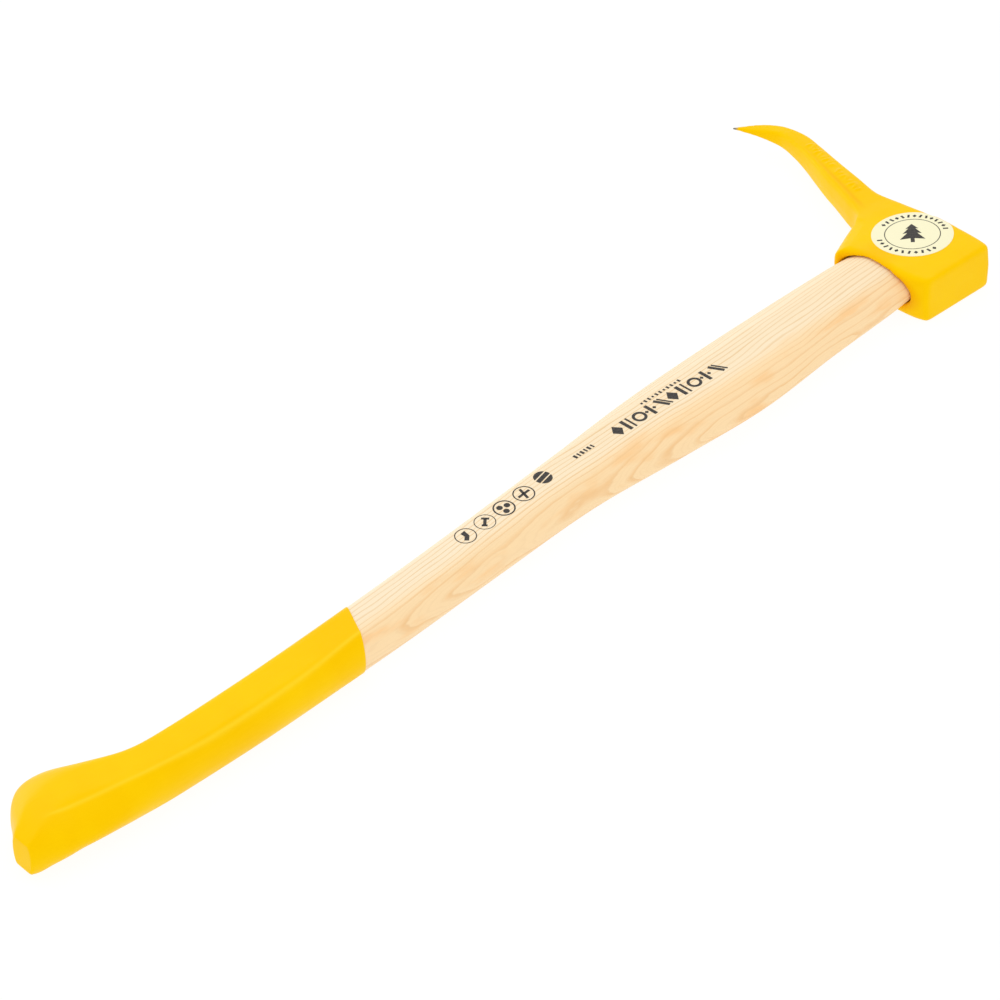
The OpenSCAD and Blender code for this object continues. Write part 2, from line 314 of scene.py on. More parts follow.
def handle_ring(x, grow=0.0):
    """Points round the handle at x, which is one distance or one for each point."""
    x = np.broadcast_to(np.asarray(x, float), len(PLAN))
    row = row_at(HANDLE, np.maximum(x, 0))
    inset = drawn_in(BUTT_ROUND, x + grow) - grow
    mid = (row[:, 1] + row[:, 2]) / 2
    half = (row[:, 1] - row[:, 2]) / 2 - inset
    y = half * (row[:, 4] * PLAN[:, 0] + (1 - row[:, 4]) * PLAN[:, 1])
    z = (row[:, 3] - inset) * PLAN[:, 2]
    lean = END_LEAN * np.maximum(0, 1 - x / LEAN_LEN) ** 2
    ring = np.stack([x + lean * y, mid + y, z], axis=1)
    for _ in range(SOFTEN):
        ring = (np.roll(ring, 1, axis=0) + 2 * ring + np.roll(ring, -1, axis=0)) / 4
    return ring


def middle_at(x):
    row = row_at(HANDLE, x)
    return (row[:, 1] + row[:, 2]) / 2


KERF_SPAN = 30


def kerf_tool():
    """The saw kerf, as a wedge-shaped prism right across the tenon."""
    outer = TENON_END + 1
    inner = outer - KERF_DEPTH - PRESS_GAP
    toe = WEDGE_TOE / 2 + PRESS_GAP
    thick = WEDGE_THICK / 2 + PRESS_GAP
    ring = [(inner, -toe), (outer, -thick), (outer, thick), (inner, toe)]
    points = [(x, side, z) for side in (-KERF_SPAN, KERF_SPAN) for x, z in ring]
    faces = [(0, 1, 2, 3), (7, 6, 5, 4)]
    faces += [(k, k + 4, (k + 1) % 4 + 4, (k + 1) % 4) for k in range(4)]
    tool = make_object("kerf", points, faces)
    point_outwards(tool)
    return tool


# The ring wedge's edge sits this far into its wall, from outside and from inside, in parts of the wall
RING_EDGE_OUT = 0.4
RING_EDGE_IN = 0.6
RING_SIDES = 64


def ring_tool():
    """The ring wedge's wall, grown by the press gap."""
    low = RING_PROUD - RING_LEN - PRESS_GAP
    profile = [
        (RING_D / 2 - RING_WALL - PRESS_GAP, RING_PROUD),
        (RING_D / 2 + PRESS_GAP, RING_PROUD),
        (RING_D / 2 - RING_WALL * RING_EDGE_OUT + PRESS_GAP, low),
        (RING_D / 2 - RING_WALL * RING_EDGE_IN - PRESS_GAP, low),
    ]
    points, faces = [], []
    for k in range(RING_SIDES):
        turn = 2 * math.pi * k / RING_SIDES
        for r, x in profile:
            points.append((TENON_END + x, r * math.cos(turn), r * math.sin(turn)))
        for i in range(4):
            a, b = 4 * k + i, 4 * k + (i + 1) % 4
            c, d = 4 * ((k + 1) % RING_SIDES) + (i + 1) % 4, 4 * ((k + 1) % RING_SIDES) + i
            faces.append((a, b, c, d))
    tool = make_object("ring_slot", points, faces)
    point_outwards(tool)
    return tool


# Stations along the handle: close together round the butt's edge, then evenly spaced
STATION_GAP = 2.0
SHAFT_FROM = 2.6
butt_steps = [BUTT_ROUND * (1 - math.cos(math.radians(t))) for t in range(0, 90, 6)]
shaft_steps = butt_steps + list(np.arange(SHAFT_FROM, TENON_END - 1, STATION_GAP))
shaft_steps += [TENON_END - 0.6, TENON_END]
handle = skin("handle_wood", [handle_ring(x) for x in shaft_steps])
point_outwards(handle)
cut(handle, kerf_tool())
cut(handle, ring_tool())
crease(handle, 38)


GRAIN_FOLLOWS = 0.85
GRAIN_FROM = 40


def store_grain(obj):
    """Keeps each point's place in the blank, in mm, with the handle's sweep mostly taken out."""
    place = drawn_places(obj)
    place[:, 1] -= GRAIN_FOLLOWS * middle_at(np.clip(place[:, 0], GRAIN_FROM, HANDLE_LEN))
    store(obj, "grain", place)


store_grain(handle)

# ---------------------------------------------------------------- grip coat
# The share of the coat's length at which its rings begin to lean towards the slanted edge
LEANS_FROM = 0.6
LIP_FROM = COAT_LEN - 0.5
LIP_TURNS = (0.5, 1.0, 1.4)

# A faint ridge that the dip left on the upper side, as rows of: distance from the butt, y
RIDGE = np.array([
    [14, -30],
    [35, -33.8],
    [60, -38],
    [83, -41.2],
    [120, -42.8],
    [178, -40.5],
    [224, -35.4],
])
RIDGE_WIDE = 1.0
RIDGE_RISE = 0.13
RIDGE_FADE = 12
RIDGE_ABOVE = 3


def coat_ring(x, grow):
    """A ring that leans towards the coat's slanted edge and still lies on the handle."""
    share = smooth((x / COAT_LEN - LEANS_FROM) / (1 - LEANS_FROM))
    y = handle_ring(x)[:, 1]
    return handle_ring(x + COAT_SLANT * share * (y - middle_at(x)[0]), grow)


coat_steps = butt_steps + list(np.arange(SHAFT_FROM, COAT_LEN - 1, STATION_GAP)) + [LIP_FROM]
outside = [coat_ring(x - (COAT_THICK if x < BUTT_ROUND else 0), COAT_THICK) for x in coat_steps]
lip = [coat_ring(LIP_FROM + COAT_THICK * math.sin(t), COAT_THICK * math.cos(t)) for t in LIP_TURNS]
inside = [coat_ring(x, PRESS_GAP) for x in reversed(coat_steps)]
coat = skin("grip_paint", outside + lip + inside)


def raise_ridge(obj):
    """Raises the coat's upper outside into a faint ridge, and marks the ridge for its painted
    highlight.
    """
    place = drawn_places(obj)
    normal = np.array([v.normal for v in obj.data.vertices])
    first, last = RIDGE[0, 0], RIDGE[-1, 0]
    across = place[:, 1] - row_at(RIDGE, np.clip(place[:, 0], first, last))[:, 1]
    upper_outside = (place[:, 2] > RIDGE_ABOVE) & (normal[:, 2] > 0)
    near = np.exp(-(across / RIDGE_WIDE) ** 2) * smooth((place[:, 0] - first) / RIDGE_FADE)
    near = near * upper_outside
    raised = to_row(place + normal * (RIDGE_RISE * near)[:, None])
    obj.data.vertices.foreach_set("co", raised.astype(np.float32).ravel())
    store(obj, "ridge", near)


point_outwards(coat)
raise_ridge(coat)
crease(coat, 50)

# ---------------------------------------------------------------- head
ROUND_STEPS = 8
CHEEK_STEPS = 30
LEAST_HALF = 0.3
MOST_OF_WIDTH = 0.45
MOST_OF_HALF = 0.8

# The fuller: its depth, its place across the beak's cheek and its half width in parts of the
# cheek, and the stations from the poll's face where it starts, is full, fades and ends
FULLER_DEPTH = 0.3
FULLER_AT = 0.27
FULLER_WIDE = 0.085
FULLER_FROM, FULLER_FULL, FULLER_FADES, FULLER_END = 78, 94, 146, 172


def collar_limit(x, y):
    """Half the thickness that the collar's dome leaves at a place in plan, x from the head's top."""
    reach = COLLAR_HALF + COLLAR_WIDENS * (x - COLLAR_MOUTH)
    share = np.clip(y / reach, 0, 1)
    roof = COLLAR_HIGH * (1 - share**COLLAR_POWER) ** (1 / COLLAR_POWER)
    return np.where(y <= 0, COLLAR_FREE, roof + COLLAR_FREE * smooth((x - COLLAR_END) / COLLAR_FADE))


def fuller_depth(s, share):
    """The shallow fuller along the inner half of the beak's cheeks."""
    starts = smooth((s - FULLER_FROM) / (FULLER_FULL - FULLER_FROM))
    ends = smooth((FULLER_END - s) / (FULLER_END - FULLER_FADES))
    return FULLER_DEPTH * starts * ends * np.exp(-((share - FULLER_AT) / FULLER_WIDE) ** 2)


def head_ring(s):
    """Points round the head at a station s from the poll's face."""
    row = row_at(HEAD, s)[0]
    inset = drawn_in(POLL_ROUND, s)
    a = np.array([row[1] + inset, row[2]])
    b = np.array([row[3] - inset, row[4]])
    width = np.linalg.norm(b - a)
    along = (b - a) / width
    half = row[5] * POLL_HALF - inset
    r = min(row[6], width * MOST_OF_WIDTH, half * MOST_OF_HALF)
    corner = r * (1 - np.cos(np.linspace(0, math.pi / 2, ROUND_STEPS + 1)))
    cheek = np.linspace(r, width - r, CHEEK_STEPS + 2)[1:-1]
    spots = np.concatenate([corner, cheek, width - corner[::-1]])
    plan = a + along * spots[:, None]
    edge = drawn_in(r, np.minimum(spots, width - spots))
    high = np.maximum(LEAST_HALF, np.minimum(half - edge, collar_limit(plan[:, 0], plan[:, 1])))
    high = high - fuller_depth(s, spots / width)
    upper = np.column_stack([plan, high])
    lower = np.column_stack([plan, -high])[::-1]
    swell_a = np.append(a - along * DRAFT * high[0], 0)
    swell_b = np.append(b + along * DRAFT * high[-1], 0)
    ring = np.vstack([swell_a, upper, swell_b, lower])
    ring[:, 0] += HANDLE_LEN
    return ring


EYE_REACH = 72
EYE_PAST = 9
FLARE_FROM = 44
FLARE_LEN = 22


def eye_tool():
    """The eye, which widens towards its mouth."""
    rings = []
    for x in np.arange(HANDLE_LEN - EYE_REACH, HANDLE_LEN + EYE_PAST, STATION_GAP):
        flare = MOUTH_FLARE * float(smooth((HANDLE_LEN - FLARE_FROM - x) / FLARE_LEN))
        rings.append(handle_ring(x, EYE_GAP + flare))
    tool = skin("eye", rings)
    point_outwards(tool)
    return tool


# The ribs: rows as first station, last station and count, one rib's sizes, and its turn; every
# third is shorter, and every third is turned more
RIB_ROWS = ((95, 117, 8), (124, 149, 9))
RIB_LONG = 5.2
RIB_SHORT = 3.6
RIB_WIDE = 1.3
RIB_RISE = 0.95
RIB_ROOT = 1.5
RIB_ROUND = 0.15
RIB_TOP = 0.7
RIB_TURN = -0.15
RIB_TURN_THIRD = 0.5
# The shares of the cheek's width between which a rib lies, and where its middle is between them
RIB_FROM, RIB_TO = 0.15, 0.85
RIB_OUT = 0.58


def rib(at, length, turn):
    """One raised rib on the beak's cheek: a low rounded bar."""
    ring = []
    for t in np.linspace(0, 2 * math.pi, 16, endpoint=False):
        ring.append((math.cos(t) * length / 2, math.sin(t) * RIB_WIDE / 2))
    c, s = math.cos(turn), math.sin(turn)
    rings = []
    for high, share in ((-RIB_ROOT, 1.0), (RIB_RISE - RIB_ROUND, 1.0), (RIB_RISE, RIB_TOP)):
        rings.append([
            (at[0] + share * (u * c - v * s), at[1] + share * (u * s + v * c), at[2] + high)
            for u, v in ring
        ])
    return skin("rib", rings)


def beak_place(s, share):
    """The upper cheek's point at station s, that share of the way from the beak's inner edge."""
    ring = head_ring(s)
    upper = ring[1:1 + 2 * (ROUND_STEPS + 1) + CHEEK_STEPS]
    return upper[round(share * (len(upper) - 1))]


HEAD_GAP = 0.8
head_last = HEAD[-1, 0]
head_steps = [POLL_ROUND * (1 - math.cos(math.radians(t))) for t in range(0, 91, 9)]
head_steps += list(np.arange(POLL_ROUND + HEAD_GAP, head_last, HEAD_GAP)) + [head_last]
head = skin("head_forging", [head_ring(s) for s in head_steps])
point_outwards(head)
cut(head, eye_tool())

ribs = []
for first, last, count in RIB_ROWS:
    for k, s in enumerate(np.linspace(first, last, count)):
        inner, outer = beak_place(s, RIB_FROM), beak_place(s, RIB_TO)
        across = outer - inner
        turn = math.atan2(across[1], across[0]) + (RIB_TURN_THIRD if k % 3 == 1 else RIB_TURN)
        middle = inner * (1 - RIB_OUT) + outer * RIB_OUT
        ribs.append(rib(middle, RIB_LONG if k % 3 else RIB_SHORT, turn))
for piece in ribs:
    point_outwards(piece)
together = [head, *ribs]
with bpy.context.temp_override(
    object=head,
    active_object=head,
    selected_objects=together,
    selected_editable_objects=together,
):
    bpy.ops.object.join()

remesh = head.modifiers.new("remesh", "REMESH")
remesh.mode = "VOXEL"
remesh.voxel_size = 0.0006
remesh.use_smooth_shade = True
settle(head)

# How far the forging's edges are smoothed: fully at the poll and round the inner corner between
# the collar and the beak, half elsewhere, and hardly at all at the beak's tip
TIP_Y = 159.8
TIP_FADE = 14
LEAST_SOFT = 0.02
POLL_SOFT_FROM = -6
POLL_SOFT_FADE = 4
CORNER = (HANDLE_LEN - 26.6, 41)
CORNER_REACH = 22
CORNER_FADE = 10


def store_softness(obj):
    """The vertex group that says how strongly each point is smoothed."""
    place = drawn_places(obj)
    poll = smooth((POLL_SOFT_FROM - place[:, 1]) / POLL_SOFT_FADE)
    from_corner = np.hypot(place[:, 0] - CORNER[0], place[:, 1] - CORNER[1])
    corner = smooth((CORNER_REACH - from_corner) / CORNER_FADE)
    softness = np.clip((TIP_Y - place[:, 1]) / TIP_FADE, LEAST_SOFT, 1)
    levels = np.round(softness * np.maximum(0.5, np.maximum(poll, corner)), 1)
    group = obj.vertex_groups.new(name="soft")
    for level in np.unique(levels):
        chosen = np.nonzero(levels == level)[0]
        group.add([int(i) for i in chosen], float(max(level, LEAST_SOFT)), "REPLACE")


store_softness(head)
relax = head.modifiers.new("relax", "SMOOTH")
relax.factor = 0.5
relax.iterations = 34
relax.vertex_group = "soft"
settle(head)
head.data.shade_smooth()

# Painted shade, darker paint: a rim round the eye, as far out as RIM_OUT times the handle's half
# sizes, and the fuller from one Y to another
RIM_OUT = 1.42
RIM_FADE = 0.34
RIM_END = 38
RIM_END_FADE = 10
FULLER_SHADE = 0.7
FULLER_SHADE_WIDE = 0.07
FULLER_SHADE_FROM, FULLER_SHADE_END = 40, 125
FULLER_SHADE_STARTS, FULLER_SHADE_FADES = 10, 50
FULLER_ABOVE = 3


def store_shade(obj):
    """Marks the painted shade: a rim round the eye's mouth and a line along the fuller on the beak."""
    x, y, z = drawn_places(obj).T
    row = row_at(HANDLE, np.clip(x, 0, HANDLE_LEN))
    half = (row[:, 1] - row[:, 2]) / 2
    from_eye = np.hypot((y - (row[:, 1] + row[:, 2]) / 2) / half, z / row[:, 3])
    rim = smooth((RIM_OUT - from_eye) / RIM_FADE)
    rim = rim * smooth((HANDLE_LEN - RIM_END - x) / RIM_END_FADE)
    inner = np.interp(y, HEAD[:, 2], HEAD[:, 1]) + HANDLE_LEN
    outer = np.interp(y, HEAD[:, 4], HEAD[:, 3]) + HANDLE_LEN
    share = (x - inner) / np.maximum(outer - inner, 0.1)
    fuller = np.exp(-((share - FULLER_AT) / FULLER_SHADE_WIDE) ** 2)
    fuller = fuller * smooth((y - FULLER_SHADE_FROM) / FULLER_SHADE_STARTS)
    fuller = fuller * smooth((FULLER_SHADE_END - y) / FULLER_SHADE_FADES)
    # Painted shade round the eye's mouth and in the fuller
    shade = rim + FULLER_SHADE * fuller * (np.abs(z) > FULLER_ABOVE)
    store(obj, "shade", np.clip(shade, 0, 1))


store_shade(head)


# ---------------------------------------------------------------- label and ink
def stick(point, tree, lift, from_above=False):
    """The host's point nearest to a drawing point, or straight below it, lifted off by lift mm."""
    start = Vector(to_row(point))
    if from_above:
        spot, normal, _, _ = tree.ray_cast(start, Vector((0, 0, -1)))
    else:
        spot, normal, _, _ = tree.find_nearest(start)
    return np.array(spot + normal * lift / 1000) * 1000 + ORIGIN


def label_place(a, b, over=0.0):
    """A spot a and b mm from the label's middle, turned down over the head's far edge."""
    x, y = LABEL_AT[0] + a, LABEL_AT[1] + b
    row = row_at(HEAD, y - POLL_Y)[0]
    edge = row[3] - row[6]
    bend = max(0, x - edge) / row[6]
    high = min(row[5] * POLL_HALF, float(collar_limit(x, y)))
    return (
        HANDLE_LEN + min(x, edge) + (row[6] + over) * math.sin(bend),
        y,
        high - row[6] + (row[6] + over) * math.cos(bend),
    )


OVER_LABEL = 1.2


def above_label(a, b):
    """The same spot, but clear of the label's upper face."""
    return label_place(a, b, OVER_LABEL)


LABEL_RINGS = 26
LABEL_SIDES = 112
PASTE_GAP = 0.02
SMALLEST_RING = 0.02


def make_label(host):
    """The paper disc, laid on its host with its upper and its lower face."""
    layers = []
    for lift in (LABEL_THICK, PASTE_GAP):
        for i in range(LABEL_RINGS + 1):
            radius = max(i, SMALLEST_RING) / LABEL_RINGS * LABEL_D / 2
            spots = circle(radius, sides=LABEL_SIDES)
            layers.append([stick(label_place(a, b), host, lift) for a, b in spots])
    half = len(layers) // 2
    disc = skin("label_disc", layers[:half] + layers[half:][::-1])
    point_outwards(disc)
    crease(disc, 60)
    return disc


INK_THICK = 0.03


def filled(loops, longest):
    """Triangles that fill the loops on a plane, cut until no edge is longer than the last argument."""
    mesh = bmesh.new()
    corners = [mesh.verts.new((*p, 0)) for loop in loops for p in loop]
    for triangle in tessellate_polygon([[Vector((*p, 0)) for p in loop] for loop in loops]):
        mesh.faces.new([corners[k] for k in triangle])
    while long_edges := [edge for edge in mesh.edges if edge.calc_length() > longest]:
        bmesh.ops.subdivide_edges(mesh, edges=long_edges, cuts=1)
        bmesh.ops.triangulate(mesh, faces=mesh.faces[:])
    mesh.verts.index_update()
    return mesh


def ink(name, shapes, place, host, longest, from_above=False):
    """Flat ink: each shape is a list of loops, the first its outline and the rest holes."""
    points, faces = [], []
    for loops in shapes:
        plan = filled(loops, longest)
        start, count = len(points), len(plan.verts)
        for lift in (INK_THICK, -INK_THICK):
            points += [stick(place(v.co.x, v.co.y), host, lift, from_above) for v in plan.verts]
        for face in plan.faces:
            top = [start + v.index for v in face.verts]
            faces.append(top)
            faces.append([k + count for k in reversed(top)])
        for edge in plan.edges:
            if edge.is_boundary:
                a, b = (start + v.index for v in edge.verts)
                faces.append((a, b, b + count, a + count))
        plan.free()
    piece = make_object(name, points, faces)
    point_outwards(piece)
    crease(piece, 30)
    return piece


# Loops and shapes for ink(), in mm
def circle(radius, at=(0, 0), sides=40):
    turns = np.linspace(0, 2 * math.pi, sides, endpoint=False)
    return [(at[0] + radius * math.cos(t), at[1] + radius * math.sin(t)) for t in turns]


def band(radius, width, at=(0, 0), sides=56):
    return [circle(radius + width / 2, at, sides), circle(radius - width / 2, at, sides)[::-1]]


def placed(loop, at, turn):
    c, s = math.cos(turn), math.sin(turn)
    return [(at[0] + a * c - b * s, at[1] + a * s + b * c) for a, b in loop]


def bar(length, width, at=(0, 0), turn=0.0):
    a, b = length / 2, width / 2
    return [placed([(-a, -b), (a, -b), (a, b), (-a, b)], at, turn)]


def lozenge(length, width, at=(0, 0), turn=0.0):
    a, b = length / 2, width / 2
    return [placed([(-a, 0), (0, -b), (a, 0), (0, b)], at, turn)]


def slices(length, width, count, gap):
    """An oval cut across into strips with gaps between them."""
    strips = []
    for k in range(count):
        first = -length / 2 + k * length / count + (gap / 2 if k else 0)
        last = -length / 2 + (k + 1) * length / count - (gap / 2 if k < count - 1 else 0)
        along = np.linspace(first, last, 9)
        half = width / 2 * np.sqrt(np.maximum(0.0004, 1 - (2 * along / length) ** 2))
        upper = list(zip(along, half))
        lower = [(a, -b) for a, b in upper[::-1]]
        strips.append([lower[::-1] + upper[::-1]])
    return strips


def moved(shapes, at, turn):
    return [[placed(loop, at, turn) for loop in loops] for loops in shapes]


def fir_tree():
    """A plain fir tree: three tiers and a trunk, upright along the second axis."""
    tiers = [(0, 10.2), (3.6, 5.2), (1.9, 5.6), (5.2, 0.3), (2.7, 0.9), (7.0, -5.6)]
    right = tiers + [(1.1, -4.6), (1.1, -8.6)]
    left = [(-a, b) for a, b in right[:0:-1]]
    return [[(right + left)[::-1]]]


# The label's emblem: a ring line with a fir tree in it, and two arcs of plain marks outside it,
# as first angle, last angle and count
LABEL_UP = math.radians(45)
LABEL_LINE_R = 15.2
LABEL_LINE = 0.5
LABEL_MARKS_R = 18.7
LABEL_MARK_LONG = 2.9
LABEL_ARCS = ((-32, 100, 14), (150, 262, 11))
LABEL_INK_EDGE = 0.5

label = make_label(surface_of(head))
marks = [band(LABEL_LINE_R, LABEL_LINE, sides=192)]
marks += moved(fir_tree(), (0, 0.2), LABEL_UP - math.pi / 2)
for first, last, count in LABEL_ARCS:
    for k, turn in enumerate(np.radians(np.linspace(first, last, count))):
        spot = (LABEL_MARKS_R * math.cos(turn), LABEL_MARKS_R * math.sin(turn))
        if k % 3 == 1:
            marks.append(lozenge(LABEL_MARK_LONG, 2.4, spot, turn))
        else:
            marks.append(bar(LABEL_MARK_LONG, 1.25, spot, turn + (0.25 if k % 2 else -0.2)))
label_ink = ink("label_ink", marks, above_label, surface_of(label), LABEL_INK_EDGE)

# The handle's print: four ringed signs, a cut oval, two rows of small bars and a row of plain
# marks, each placed by its distance from the butt and its distance off the handle's middle line
MARK_X = (317.9, 333.1, 348.4, 364.2)
MARK_OFF = 3.0
MARK_R = 5.9
MARK_LINES = (0.6, 0.5, 0.9, 0.75)
MARK_TURN = math.radians(40)
OVAL_AT = (381.1, 4.5)
SMALL_ROW_AT = (405.5, 3.2)
SMALL_ROW_GAP = 2.6
LONG_ROW_AT = (463.5, 9.6)
LONG_ROW_GAP = 2.85
WORD_FIRST, WORD_LAST, WORD_COUNT, WORD_OFF = 437.4, 513.7, 10, 2.4
WORD_HIGH = 9.2
HANDLE_INK_EDGE = 2.5
OVER_HANDLE = 30.0


def over_handle(a, b):
    """A spot straight above the handle's upper face: a along it, b off its middle line."""
    return (a, float(middle_at(a)[0]) + b, OVER_HANDLE)


# One plain sign for each ring: a bent bar, a bar with two cross ends, three dots and a cross
signs = [
    [[[(-3.8, -2.1), (0.4, -2.1), (4.1, 1.0), (1.4, 2.9), (-0.6, 0.5), (-3.8, 0.5)]]],
    [bar(6.6, 1.8), bar(1.6, 4.4, (2.8, 0)), bar(1.6, 3.2, (-2.8, 0))],
    [[circle(1.8, (-2.4, -1.4))], [circle(1.8, (2.4, -1.4))], [circle(1.8, (0, 2.5))]],
    [bar(8.6, 1.6, turn=0.6), bar(8.6, 1.6, turn=-0.7)],
]
printed = []
for x, sign, line in zip(MARK_X, signs, MARK_LINES):
    printed.append(band(MARK_R, line, (x, MARK_OFF)))
    printed += moved(sign, (x, MARK_OFF), MARK_TURN)
printed += moved(slices(11, 10, 3, 0.8), OVAL_AT, math.radians(100))
for k in range(6):
    at = (SMALL_ROW_AT[0] + SMALL_ROW_GAP * k, SMALL_ROW_AT[1])
    printed.append(bar(1.1 if k % 2 else 1.6, 3.0, at, 0.1))
for k in range(11):
    at = (LONG_ROW_AT[0] + LONG_ROW_GAP * k, LONG_ROW_AT[1])
    printed.append(bar(1.4, 2.3 if k % 3 else 1.4, at, 0.15))
for k, x in enumerate(np.linspace(WORD_FIRST, WORD_LAST, WORD_COUNT)):
    at = (x, WORD_OFF)
    kind = k % 5
    if kind == 0:
        printed.append(lozenge(7.2, 9.4, at))
    elif kind == 1:
        printed.append(bar(2.3, WORD_HIGH, (x - 1.9, WORD_OFF)))
        printed.append(bar(1.3, WORD_HIGH, (x + 1.7, WORD_OFF)))
    elif kind == 2:
        printed.append(band(3.4, 1.7, at))
    elif kind == 3:
        printed.append(bar(2.2, WORD_HIGH, at))
        printed += [bar(1.8, 1.8, (x + side * 2.9, WORD_OFF), 0.78) for side in (-1, 1)]
    else:
        printed += [bar(2.1, 9.4, at, 0.5), bar(1.2, 9.4, (x + 2.5, WORD_OFF), 0.5)]
handle_ink = ink(
    "handle_ink", printed, over_handle, surface_of(handle), HANDLE_INK_EDGE, from_above=True
)


# ---------------------------------------------------------------- materials
class Paint:
    """A material and the few node calls that it needs."""

    def __init__(self, name, **constants):
        self.material = bpy.data.materials.new(name)
        self.material.use_nodes = True
        self.tree = self.material.node_tree
        self.shader = self.tree.nodes["Principled BSDF"]
        for key, value in constants.items():
            self.shader.inputs[key.replace("_", " ")].default_value = value

    def node(self, kind, inputs=None, **settings):
        made = self.tree.nodes.new("ShaderNode" + kind)
        for key, value in settings.items():
            setattr(made, key, value)
        for key, value in (inputs or {}).items():
            self.put(made.inputs[key], value)
        return made

    def put(self, socket, value):
        if isinstance(value, bpy.types.NodeSocket):
            self.tree.links.new(value, socket)
        else:
            socket.default_value = value

    def kept(self, name, output):
        """The value that the mesh keeps for each point under that name."""
        return self.node("Attribute", attribute_name=name).outputs[output]

    def math(self, operation, a, b=0.0):
        return self.node("Math", {0: a, 1: b}, operation=operation).outputs[0]

    def stretch(self, place, scale):
        return self.node("VectorMath", {0: place, 1: scale}, operation="MULTIPLY").outputs[0]

    def times(self, a, b):
        return self.math("MULTIPLY", a, b)

    def noise(self, place, scale, detail):
        """Noise of that scale; a scale of three numbers stretches it along the axes."""
        if isinstance(scale, tuple):
            place, scale = self.stretch(place, scale), 1.0
        inputs = {"Vector": place, "Scale": scale, "Detail": detail, "Roughness": 0.5}
        return self.node("TexNoise", inputs).outputs["Fac"]

    def step(self, value, low, high, to_low=0.0, to_high=1.0):
        """Goes smoothly from to_low to to_high as the value goes from low to high."""
        made = self.node(
            "MapRange",
            {"Value": value, "From Min": low, "From Max": high, "To Min": to_low, "To Max": to_high},
            interpolation_type="SMOOTHSTEP",
        )
        return made.outputs["Result"]

    def mix(self, share, a, b):
        made = self.node("Mix", {0: share, 6: a, 7: b}, data_type="RGBA")
        return made.outputs[2]

    def set(self, name, value):
        self.put(self.shader.inputs[name], value)

    def bump(self, height, distance, strength=1.0, under=None):
        made = self.node("Bump", {"Height": height, "Distance": distance, "Strength": strength})
        if under is not None:
            self.put(made.inputs["Normal"], under)
        return made.outputs["Normal"]

    def place(self):
        return self.node("TexCoord").outputs["Object"]


# The middle of the bare tip, and in metres how far from it the steel is bare, where the paint is
# whole again, and how much their edge wanders
TIP = (HANDLE_LEN - 0.85, 159.6, 0)
BARE_TO, PAINT_FROM = 0.0038, 0.0052
RAGGED_BY = 0.004


def yellow_lacquer(name):
    """The colour and gloss that the head and the dipped coat share."""
    p = Paint(name, IOR=1.5, Specular_IOR_Level=0.08, Specular_Tint=(1.0, 0.72, 0.06, 1))
    place = p.place()
    cloud = p.step(p.noise(place, 22.0, 3.0), 0.3, 0.7)
    colour = p.mix(cloud, (0.97, 0.57, 0.0, 1), (0.985, 0.61, 0.001, 1))
    speck = p.step(p.noise(place, 900.0, 2.0), 0.66, 0.8, 0, 0.2)
    colour = p.mix(speck, colour, (0.9, 0.48, 0.0, 1))
    p.set("Roughness", p.step(p.noise(place, 60.0, 4.0), 0.3, 0.7, 0.3, 0.42))
    return p, place, colour


def finish_lacquer(p, place, colour, waves):
    """Sets the colour, and adds the lacquer's fine orange peel to its waves."""
    p.set("Base Color", colour)
    p.set("Normal", p.bump(p.noise(place, 1400.0, 2.0), 0.00004, 0.5, waves))
    return p.material


def dipped_paint(name):
    """Paint that ran along the handle as it dripped off, with a painted highlight along the ridge."""
    p, place, colour = yellow_lacquer(name)
    waves = p.bump(p.noise(place, (60.0, 500.0, 500.0), 3.0), 0.0002, 0.5)
    # Painted highlight: a paler yellow along the ridge
    colour = p.mix(p.times(p.kept("ridge", "Fac"), 0.6), colour, (1.0, 0.70, 0.03, 1))
    return finish_lacquer(p, place, colour, waves)


def forged_paint(name):
    """Paint over the forging's unevenness, with painted shade where store_shade() says, worn off at
    the tip.
    """
    p, place, colour = yellow_lacquer(name)
    waves = p.bump(p.noise(place, 130.0, 2.0), 0.0006, 0.35)
    # Painted shade: darker orange round the eye's mouth and along the fuller
    colour = p.mix(p.times(p.kept("shade", "Fac"), 0.75), colour, (0.91, 0.44, 0.0, 1))
    tip = Vector(to_row(TIP))
    away = p.node("VectorMath", {0: place, 1: tip}, operation="DISTANCE").outputs["Value"]
    ragged = p.math("ADD", away, p.times(p.noise(place, 700.0, 4.0), RAGGED_BY))
    bare = p.step(ragged, BARE_TO, PAINT_FROM, 1, 0)
    steel = p.mix(p.noise(place, 1500.0, 3.0), (0.16, 0.15, 0.13, 1), (0.34, 0.32, 0.29, 1))
    p.set("Metallic", p.times(bare, 0.8))
    return finish_lacquer(p, place, p.mix(bare, colour, steel), waves)


# The middle of the tree's rings, and the distance between two of them, in the mm of "grain"
PITH = (0.0, 150.0, -30.0)
RING_PITCH = 2.9


def growth_rings(p, grain):
    """A value that grows by one from each growth ring to the next, wavering along the blank."""
    along, across, up = p.node("SeparateXYZ", {0: grain}).outputs
    section = p.node("CombineXYZ", {0: 0.0, 1: across, 2: up}).outputs[0]
    depth = p.node("VectorMath", {0: section, 1: PITH}, operation="DISTANCE").outputs["Value"]
    drift = p.math("SUBTRACT", p.noise(grain, (0.009, 0.03, 0.03), 2.0), 0.5)
    ripple = p.math("SUBTRACT", p.noise(grain, (0.03, 0.12, 0.12), 3.0), 0.5)
    for waver, share in ((drift, 10.0), (ripple, 2.2), (along, 0.03)):
        depth = p.math("ADD", depth, p.times(waver, share))
    uneven = p.noise(p.node("CombineXYZ", {0: p.times(depth, 0.12)}).outputs[0], 1.0, 1.0)
    return p.math("ADD", p.times(depth, 1 / RING_PITCH), p.times(uneven, 1.8))


def in_ring(p, rings, rise, full, fall):
    """1 late in each ring, from rise and full up to fall, where it drops at the ring's end."""
    part = p.math("FRACT", rings)
    return p.times(p.step(part, rise, full), p.step(part, fall, 1.0, 1, 0))


